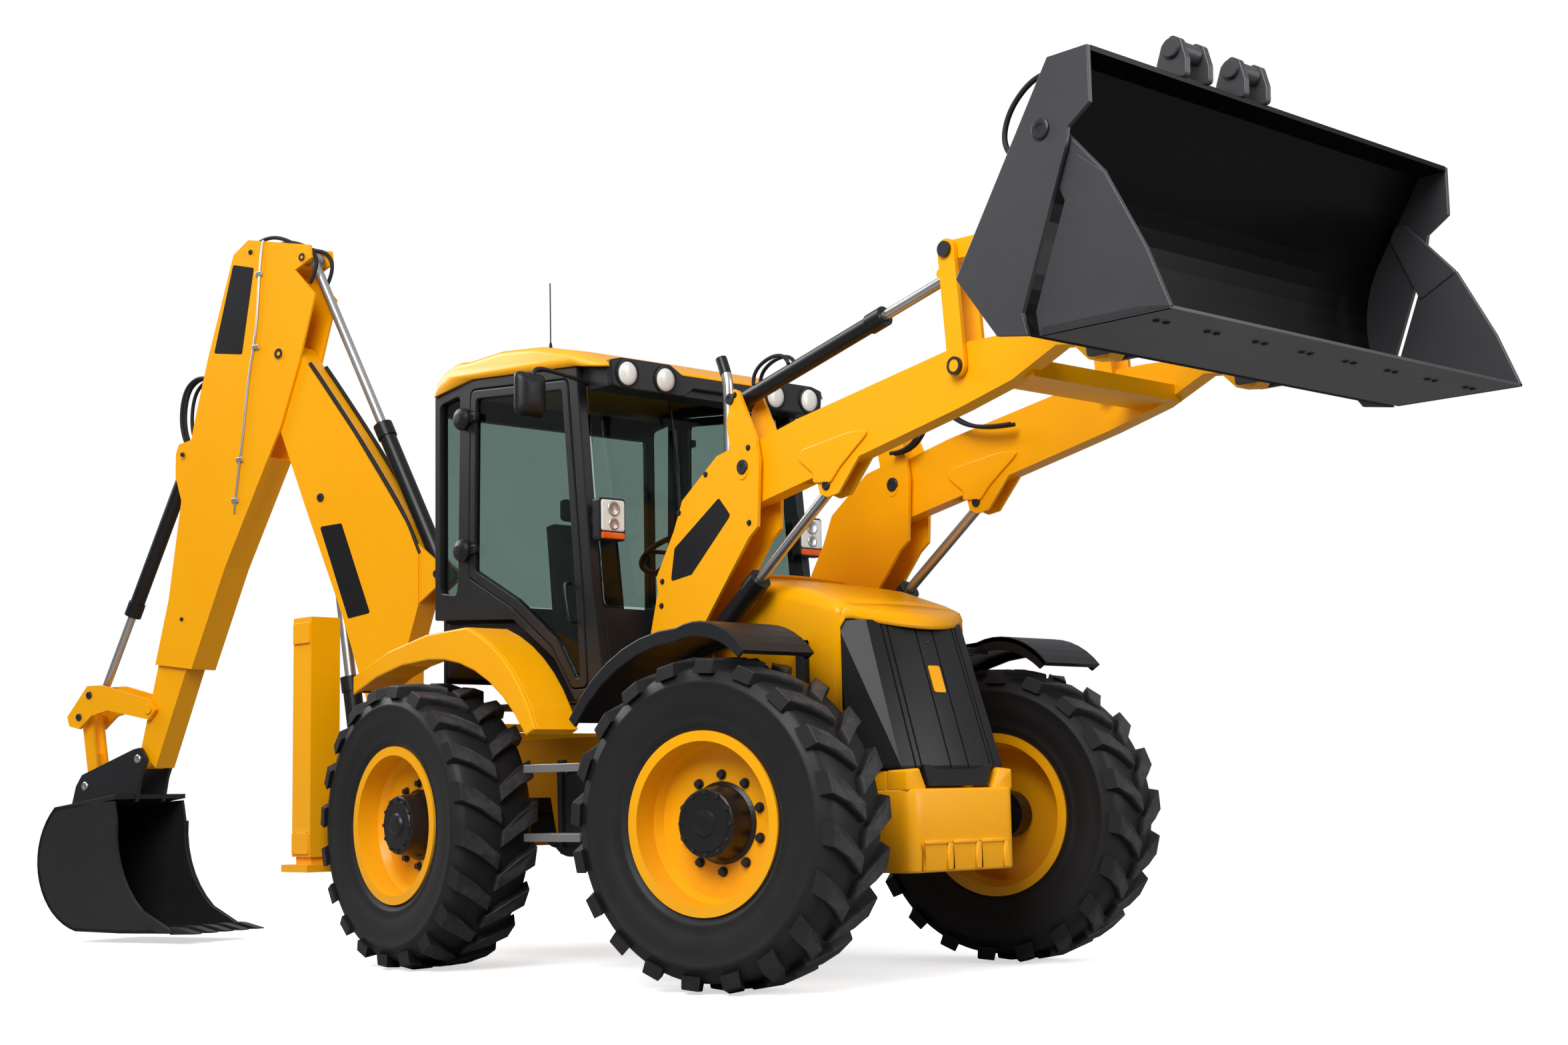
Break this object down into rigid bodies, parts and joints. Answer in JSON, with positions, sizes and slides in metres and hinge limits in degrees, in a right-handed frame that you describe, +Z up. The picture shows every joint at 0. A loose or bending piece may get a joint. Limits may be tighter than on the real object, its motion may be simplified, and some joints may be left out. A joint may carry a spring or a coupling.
{
  "type": "backhoe loader",
  "caption": "Backhoe loader with large steered wheels, glazed cab, clam loader bucket at the front, and a side-shift backhoe with an extending dipper behind.",
  "frame": {"origin": "on the ground at the middle of the machine as it stands parked", "axes": "+X forward, +Y to the left, +Z up"},
  "size_m": [9.0497, 2.6382, 4.31],
  "materials": {
    "yellow_paint": "gloss yellow enamel",
    "black_paint": "satin black enamel",
    "chrome": "polished rod",
    "dark_steel": "dark pin steel",
    "tyre": "matt black rubber",
    "black_plastic": "matt black",
    "glass": "clear, slightly grey",
    "seat_fabric": "dark cloth"
  },
  "bodies": {
    "chassis": {"axles": "yellow_paint", "cab_frame": "yellow_paint", "cab_glass": "glass", "cab_roof": "yellow_paint", "console": "black_plastic", "cowl": "yellow_paint", "engine": "black_paint", "front_fenders": "black_plastic", "grille": "black_plastic", "loader_towers": "yellow_paint", "mainframe": "yellow_paint", "nose": "yellow_paint", "rear_fenders": "yellow_paint", "rear_frame": "yellow_paint", "seat": "seat_fabric", "steps_tanks": "black_paint"},
    "knuckle_front_left": {"knuckle_front_left": "yellow_paint"},
    "wheel_front_left": {"rim_front_left": "yellow_paint", "tyre_front_left": "tyre"},
    "knuckle_front_right": {"knuckle_front_right": "yellow_paint"},
    "wheel_front_right": {"rim_front_right": "yellow_paint", "tyre_front_right": "tyre"},
    "knuckle_rear_left": {"knuckle_rear_left": "yellow_paint"},
    "wheel_rear_left": {"rim_rear_left": "yellow_paint", "tyre_rear_left": "tyre"},
    "knuckle_rear_right": {"knuckle_rear_right": "yellow_paint"},
    "wheel_rear_right": {"rim_rear_right": "yellow_paint", "tyre_rear_right": "tyre"},
    "bonnet": {"bonnet": "yellow_paint"},
    "door_right": {"door_right": "glass"},
    "door_left": {"door_left": "glass"},
    "stabiliser_leg_right": {"stabiliser_leg_right": "yellow_paint"},
    "stabiliser_leg_left": {"stabiliser_leg_left": "yellow_paint"},
    "loader_arms": {"loader_arms": "yellow_paint"},
    "lift_barrels": {"lift_barrels": "black_paint"},
    "lift_rods": {"lift_rods": "chrome"},
    "tip_barrels": {"tip_barrels": "black_paint"},
    "tip_rods": {"tip_rods": "chrome"},
    "lever_pins": {"lever_pins": "dark_steel"},
    "tip_levers": {"tip_levers": "yellow_paint"},
    "link_pins": {"link_pins": "dark_steel"},
    "tip_links": {"tip_links": "yellow_paint"},
    "bucket_pins": {"bucket_pins": "dark_steel"},
    "loader_bucket": {"loader_bucket": "black_paint"},
    "clam_jaw": {"clam_jaw": "black_paint"},
    "carriage": {"carriage": "yellow_paint"},
    "kingpost": {"kingpost": "yellow_paint"},
    "boom": {"boom": "yellow_paint"},
    "boom_barrel": {"boom_barrel": "black_paint"},
    "boom_rod": {"boom_rod": "chrome"},
    "dipper": {"dipper": "yellow_paint"},
    "dipper_barrel": {"dipper_barrel": "black_paint"},
    "dipper_rod": {"dipper_rod": "chrome"},
    "dipper_extension": {"dipper_extension": "yellow_paint"},
    "hoe_ram_barrel": {"hoe_ram_barrel": "black_paint"},
    "hoe_ram_rod": {"hoe_ram_rod": "chrome"},
    "bellcrank": {"bellcrank": "yellow_paint"},
    "hoe_link": {"hoe_link": "yellow_paint"},
    "hoe_bucket": {"hoe_bucket": "black_paint"}
  },
  "joints": [
    {"name": "steer_front_right", "type": "hinge", "parent": "chassis", "child": "knuckle_front_right", "pos_m": [1.887, -0.772, 0.707], "axis": [0, 0, 1], "range_deg": [-31.5, 8]},
    {"name": "steer_rear_right", "type": "hinge", "parent": "chassis", "child": "knuckle_rear_right", "pos_m": [-0.333, -0.772, 0.707], "axis": [0, 0, 1], "range_deg": [-17, 22.5]},
    {"name": "steer_front_left", "type": "hinge", "parent": "chassis", "child": "knuckle_front_left", "pos_m": [1.887, 0.772, 0.707], "axis": [0, 0, 1], "range_deg": [-31.52, 8.02]},
    {"name": "steer_rear_left", "type": "hinge", "parent": "chassis", "child": "knuckle_rear_left", "pos_m": [-0.333, 0.772, 0.707], "axis": [0, 0, 1], "range_deg": [-17.02, 22.52]},
    {"name": "spin_front_left", "type": "hinge", "parent": "knuckle_front_left", "child": "wheel_front_left", "pos_m": [1.8433, 0.97075, 0.707], "axis": [-0.2147, 0.9767, 0], "continuous": true},
    {"name": "spin_front_right", "type": "hinge", "parent": "knuckle_front_right", "child": "wheel_front_right", "pos_m": [1.9307, -0.97075, 0.707], "axis": [-0.2147, 0.9767, 0], "continuous": true},
    {"name": "spin_rear_left", "type": "hinge", "parent": "knuckle_rear_left", "child": "wheel_rear_left", "pos_m": [-0.3227, 0.97524, 0.707], "axis": [0.0506, 0.9987, 0], "continuous": true},
    {"name": "spin_rear_right", "type": "hinge", "parent": "knuckle_rear_right", "child": "wheel_rear_right", "pos_m": [-0.3433, -0.97524, 0.707], "axis": [0.0506, 0.9987, 0], "continuous": true},
    {"name": "bonnet_hinge", "type": "hinge", "parent": "chassis", "child": "bonnet", "pos_m": [1.247, 0, 1.762], "axis": [0, -1, 0], "range_deg": [0, 45]},
    {"name": "door_right_hinge", "type": "hinge", "parent": "chassis", "child": "door_right", "pos_m": [-0.323, -0.749, 2.4], "axis": [0, 0, -1], "range_deg": [0, 80]},
    {"name": "door_left_hinge", "type": "hinge", "parent": "chassis", "child": "door_left", "pos_m": [-0.323, 0.749, 2.4], "axis": [0, 0, 1], "range_deg": [0, 80]},
    {"name": "stabiliser_right", "type": "slide", "parent": "chassis", "child": "stabiliser_leg_right", "axis": [0, 0, -1], "range_m": [0, 0.55]},
    {"name": "stabiliser_left", "type": "slide", "parent": "chassis", "child": "stabiliser_leg_left", "axis": [0, 0, -1], "range_m": [0, 0.55]},
    {"name": "loader_lift", "type": "hinge", "parent": "chassis", "child": "loader_arms", "pos_m": [1.622, 0, 2.29], "axis": [0, -1, 0], "range_deg": [-63, 28]},
    {"name": "loader_tip", "type": "hinge", "parent": "bucket_pins", "child": "loader_bucket", "pos_m": [3.712, 0, 2.56], "axis": [0, -1, 0], "range_deg": [-45, 40]},
    {"name": "clam", "type": "hinge", "parent": "loader_bucket", "child": "clam_jaw", "pos_m": [4.001, 0, 3.208], "axis": [0, -1, 0], "range_deg": [0, 70]},
    {"name": "bucket_level", "type": "hinge", "parent": "loader_arms", "child": "bucket_pins", "pos_m": [3.712, 0, 2.56], "axis": [0, -1, 0], "range_deg": [-28.02, 63.02]},
    {"name": "lever_level", "type": "hinge", "parent": "loader_arms", "child": "lever_pins", "pos_m": [2.949, 0, 2.577], "axis": [0, -1, 0], "range_deg": [-28.02, 63.02]},
    {"name": "lever_tip", "type": "hinge", "parent": "lever_pins", "child": "tip_levers", "pos_m": [2.949, 0, 2.577], "axis": [0, -1, 0], "range_deg": [-45.02, 40.02]},
    {"name": "link_level", "type": "hinge", "parent": "tip_levers", "child": "link_pins", "pos_m": [2.907, 0, 3.082], "axis": [0, -1, 0], "range_deg": [-63.02, 28.02]},
    {"name": "link_tip", "type": "hinge", "parent": "link_pins", "child": "tip_links", "pos_m": [2.907, 0, 3.082], "axis": [0, -1, 0], "range_deg": [-40.02, 45.02]},
    {"name": "lift_ram_swing", "type": "hinge", "parent": "chassis", "child": "lift_barrels", "pos_m": [0.997, 0, 1.31], "axis": [0, -1, 0], "range_deg": [-10.91, 4.86]},
    {"name": "lift_ram", "type": "slide", "parent": "lift_barrels", "child": "lift_rods", "axis": [0.7961, 0, 0.6051], "range_m": [-0.50293, 0.22358]},
    {"name": "tip_ram_swing", "type": "hinge", "parent": "chassis", "child": "tip_barrels", "pos_m": [1.547, 0, 2.64], "axis": [0, -1, 0], "range_deg": [-63.18, 28.09]},
    {"name": "tip_ram", "type": "slide", "parent": "tip_barrels", "child": "tip_rods", "axis": [0.9678, 0, 0.2518], "range_m": [-0.2538, 0.28551]},
    {"name": "side_shift", "type": "slide", "parent": "chassis", "child": "carriage", "axis": [0, 1, 0], "range_m": [-0.55, 0.55]},
    {"name": "slew", "type": "hinge", "parent": "carriage", "child": "kingpost", "pos_m": [-1.693, 0, 0.875], "axis": [0, 0, 1], "range_deg": [-104, 68]},
    {"name": "boom_lower", "type": "hinge", "parent": "kingpost", "child": "boom", "pos_m": [-1.93076, -0.07725, 0.9], "axis": [0.309, -0.9511, 0], "range_deg": [-10, 106]},
    {"name": "dipper_out", "type": "hinge", "parent": "boom", "child": "dipper", "pos_m": [-2.75818, -0.3461, 3.56], "axis": [-0.309, 0.9511, 0], "range_deg": [-3, 90]},
    {"name": "dipper_extend", "type": "slide", "parent": "dipper", "child": "dipper_extension", "axis": [-0.3785, -0.123, -0.9174], "range_m": [0, 1.1]},
    {"name": "hoe_bucket_open", "type": "hinge", "parent": "dipper_extension", "child": "hoe_bucket", "pos_m": [-3.80244, -0.6854, 1.118], "axis": [-0.309, 0.9511, 0], "range_deg": [-66, 74]},
    {"name": "boom_ram_swing", "type": "hinge", "parent": "kingpost", "child": "boom_barrel", "pos_m": [-2.12573, -0.1406, 0.43], "axis": [-0.309, 0.9511, 0], "range_deg": [-98.58, 9.32]},
    {"name": "boom_ram", "type": "slide", "parent": "boom_barrel", "child": "boom_rod", "axis": [-0.1471, -0.0478, 0.988], "range_m": [-0.80043, 0.0756]},
    {"name": "dipper_ram_swing", "type": "hinge", "parent": "boom", "child": "dipper_barrel", "pos_m": [-1.62643, 0.02163, 2.13], "axis": [-0.309, 0.9511, 0], "range_deg": [-0.19, 5.16]},
    {"name": "dipper_ram", "type": "slide", "parent": "dipper_barrel", "child": "dipper_rod", "axis": [-0.427, -0.1387, 0.8935], "range_m": [-0.85351, 0.02855]},
    {"name": "hoe_bellcrank", "type": "hinge", "parent": "dipper_extension", "child": "bellcrank", "pos_m": [-3.73397, -0.66315, 1.422], "axis": [-0.309, 0.9511, 0], "range_deg": [-52.53, 58.89]},
    {"name": "hoe_link_swing", "type": "hinge", "parent": "bellcrank", "child": "hoe_link", "pos_m": [-4.30365, -0.84825, 1.395], "axis": [-0.309, 0.9511, 0], "range_deg": [-34.91, 31.14]},
    {"name": "hoe_ram_swing", "type": "hinge", "parent": "dipper_extension", "child": "hoe_ram_barrel", "pos_m": [-3.51427, -0.59177, 3.03], "axis": [-0.309, 0.9511, 0], "range_deg": [-3.01, 3.37]},
    {"name": "hoe_ram", "type": "slide", "parent": "hoe_ram_barrel", "child": "hoe_ram_rod", "axis": [-0.4228, -0.1374, -0.8957], "range_m": [-0.47513, 0.42378]}
  ],
  "couplings": [
    {"joint": "steer_front_left", "follows": "steer_front_right", "ratio": 1},
    {"joint": "steer_rear_left", "follows": "steer_rear_right", "ratio": 1},
    {"joint": "bucket_level", "follows": "loader_lift", "ratio": -1},
    {"joint": "lever_level", "follows": "loader_lift", "ratio": -1},
    {"joint": "lever_tip", "follows": "loader_tip", "ratio": 1},
    {"joint": "link_level", "follows": "loader_lift", "ratio": 1},
    {"joint": "link_tip", "follows": "loader_tip", "ratio": -1},
    {"joint": "lift_ram_swing", "follows": "loader_lift", "ratio": 0.1728},
    {"joint": "lift_ram", "follows": "loader_lift", "m_per_rad": 0.4573},
    {"joint": "tip_ram_swing", "follows": "loader_lift", "ratio": 1.0026},
    {"joint": "tip_ram", "follows": "loader_tip", "m_per_rad": -0.3634},
    {"joint": "boom_ram_swing", "follows": "boom_lower", "ratio": -0.9298},
    {"joint": "boom_ram", "follows": "boom_lower", "m_per_rad": -0.4326},
    {"joint": "dipper_ram_swing", "follows": "dipper_out", "ratio": 0.0571},
    {"joint": "dipper_ram", "follows": "dipper_out", "m_per_rad": -0.5433},
    {"joint": "hoe_bellcrank", "follows": "hoe_bucket_open", "ratio": 0.7956},
    {"joint": "hoe_link_swing", "follows": "hoe_bucket_open", "ratio": -0.4715},
    {"joint": "hoe_ram_swing", "follows": "hoe_bucket_open", "ratio": 0.0453},
    {"joint": "hoe_ram", "follows": "hoe_bucket_open", "m_per_rad": -0.3678}
  ]
}
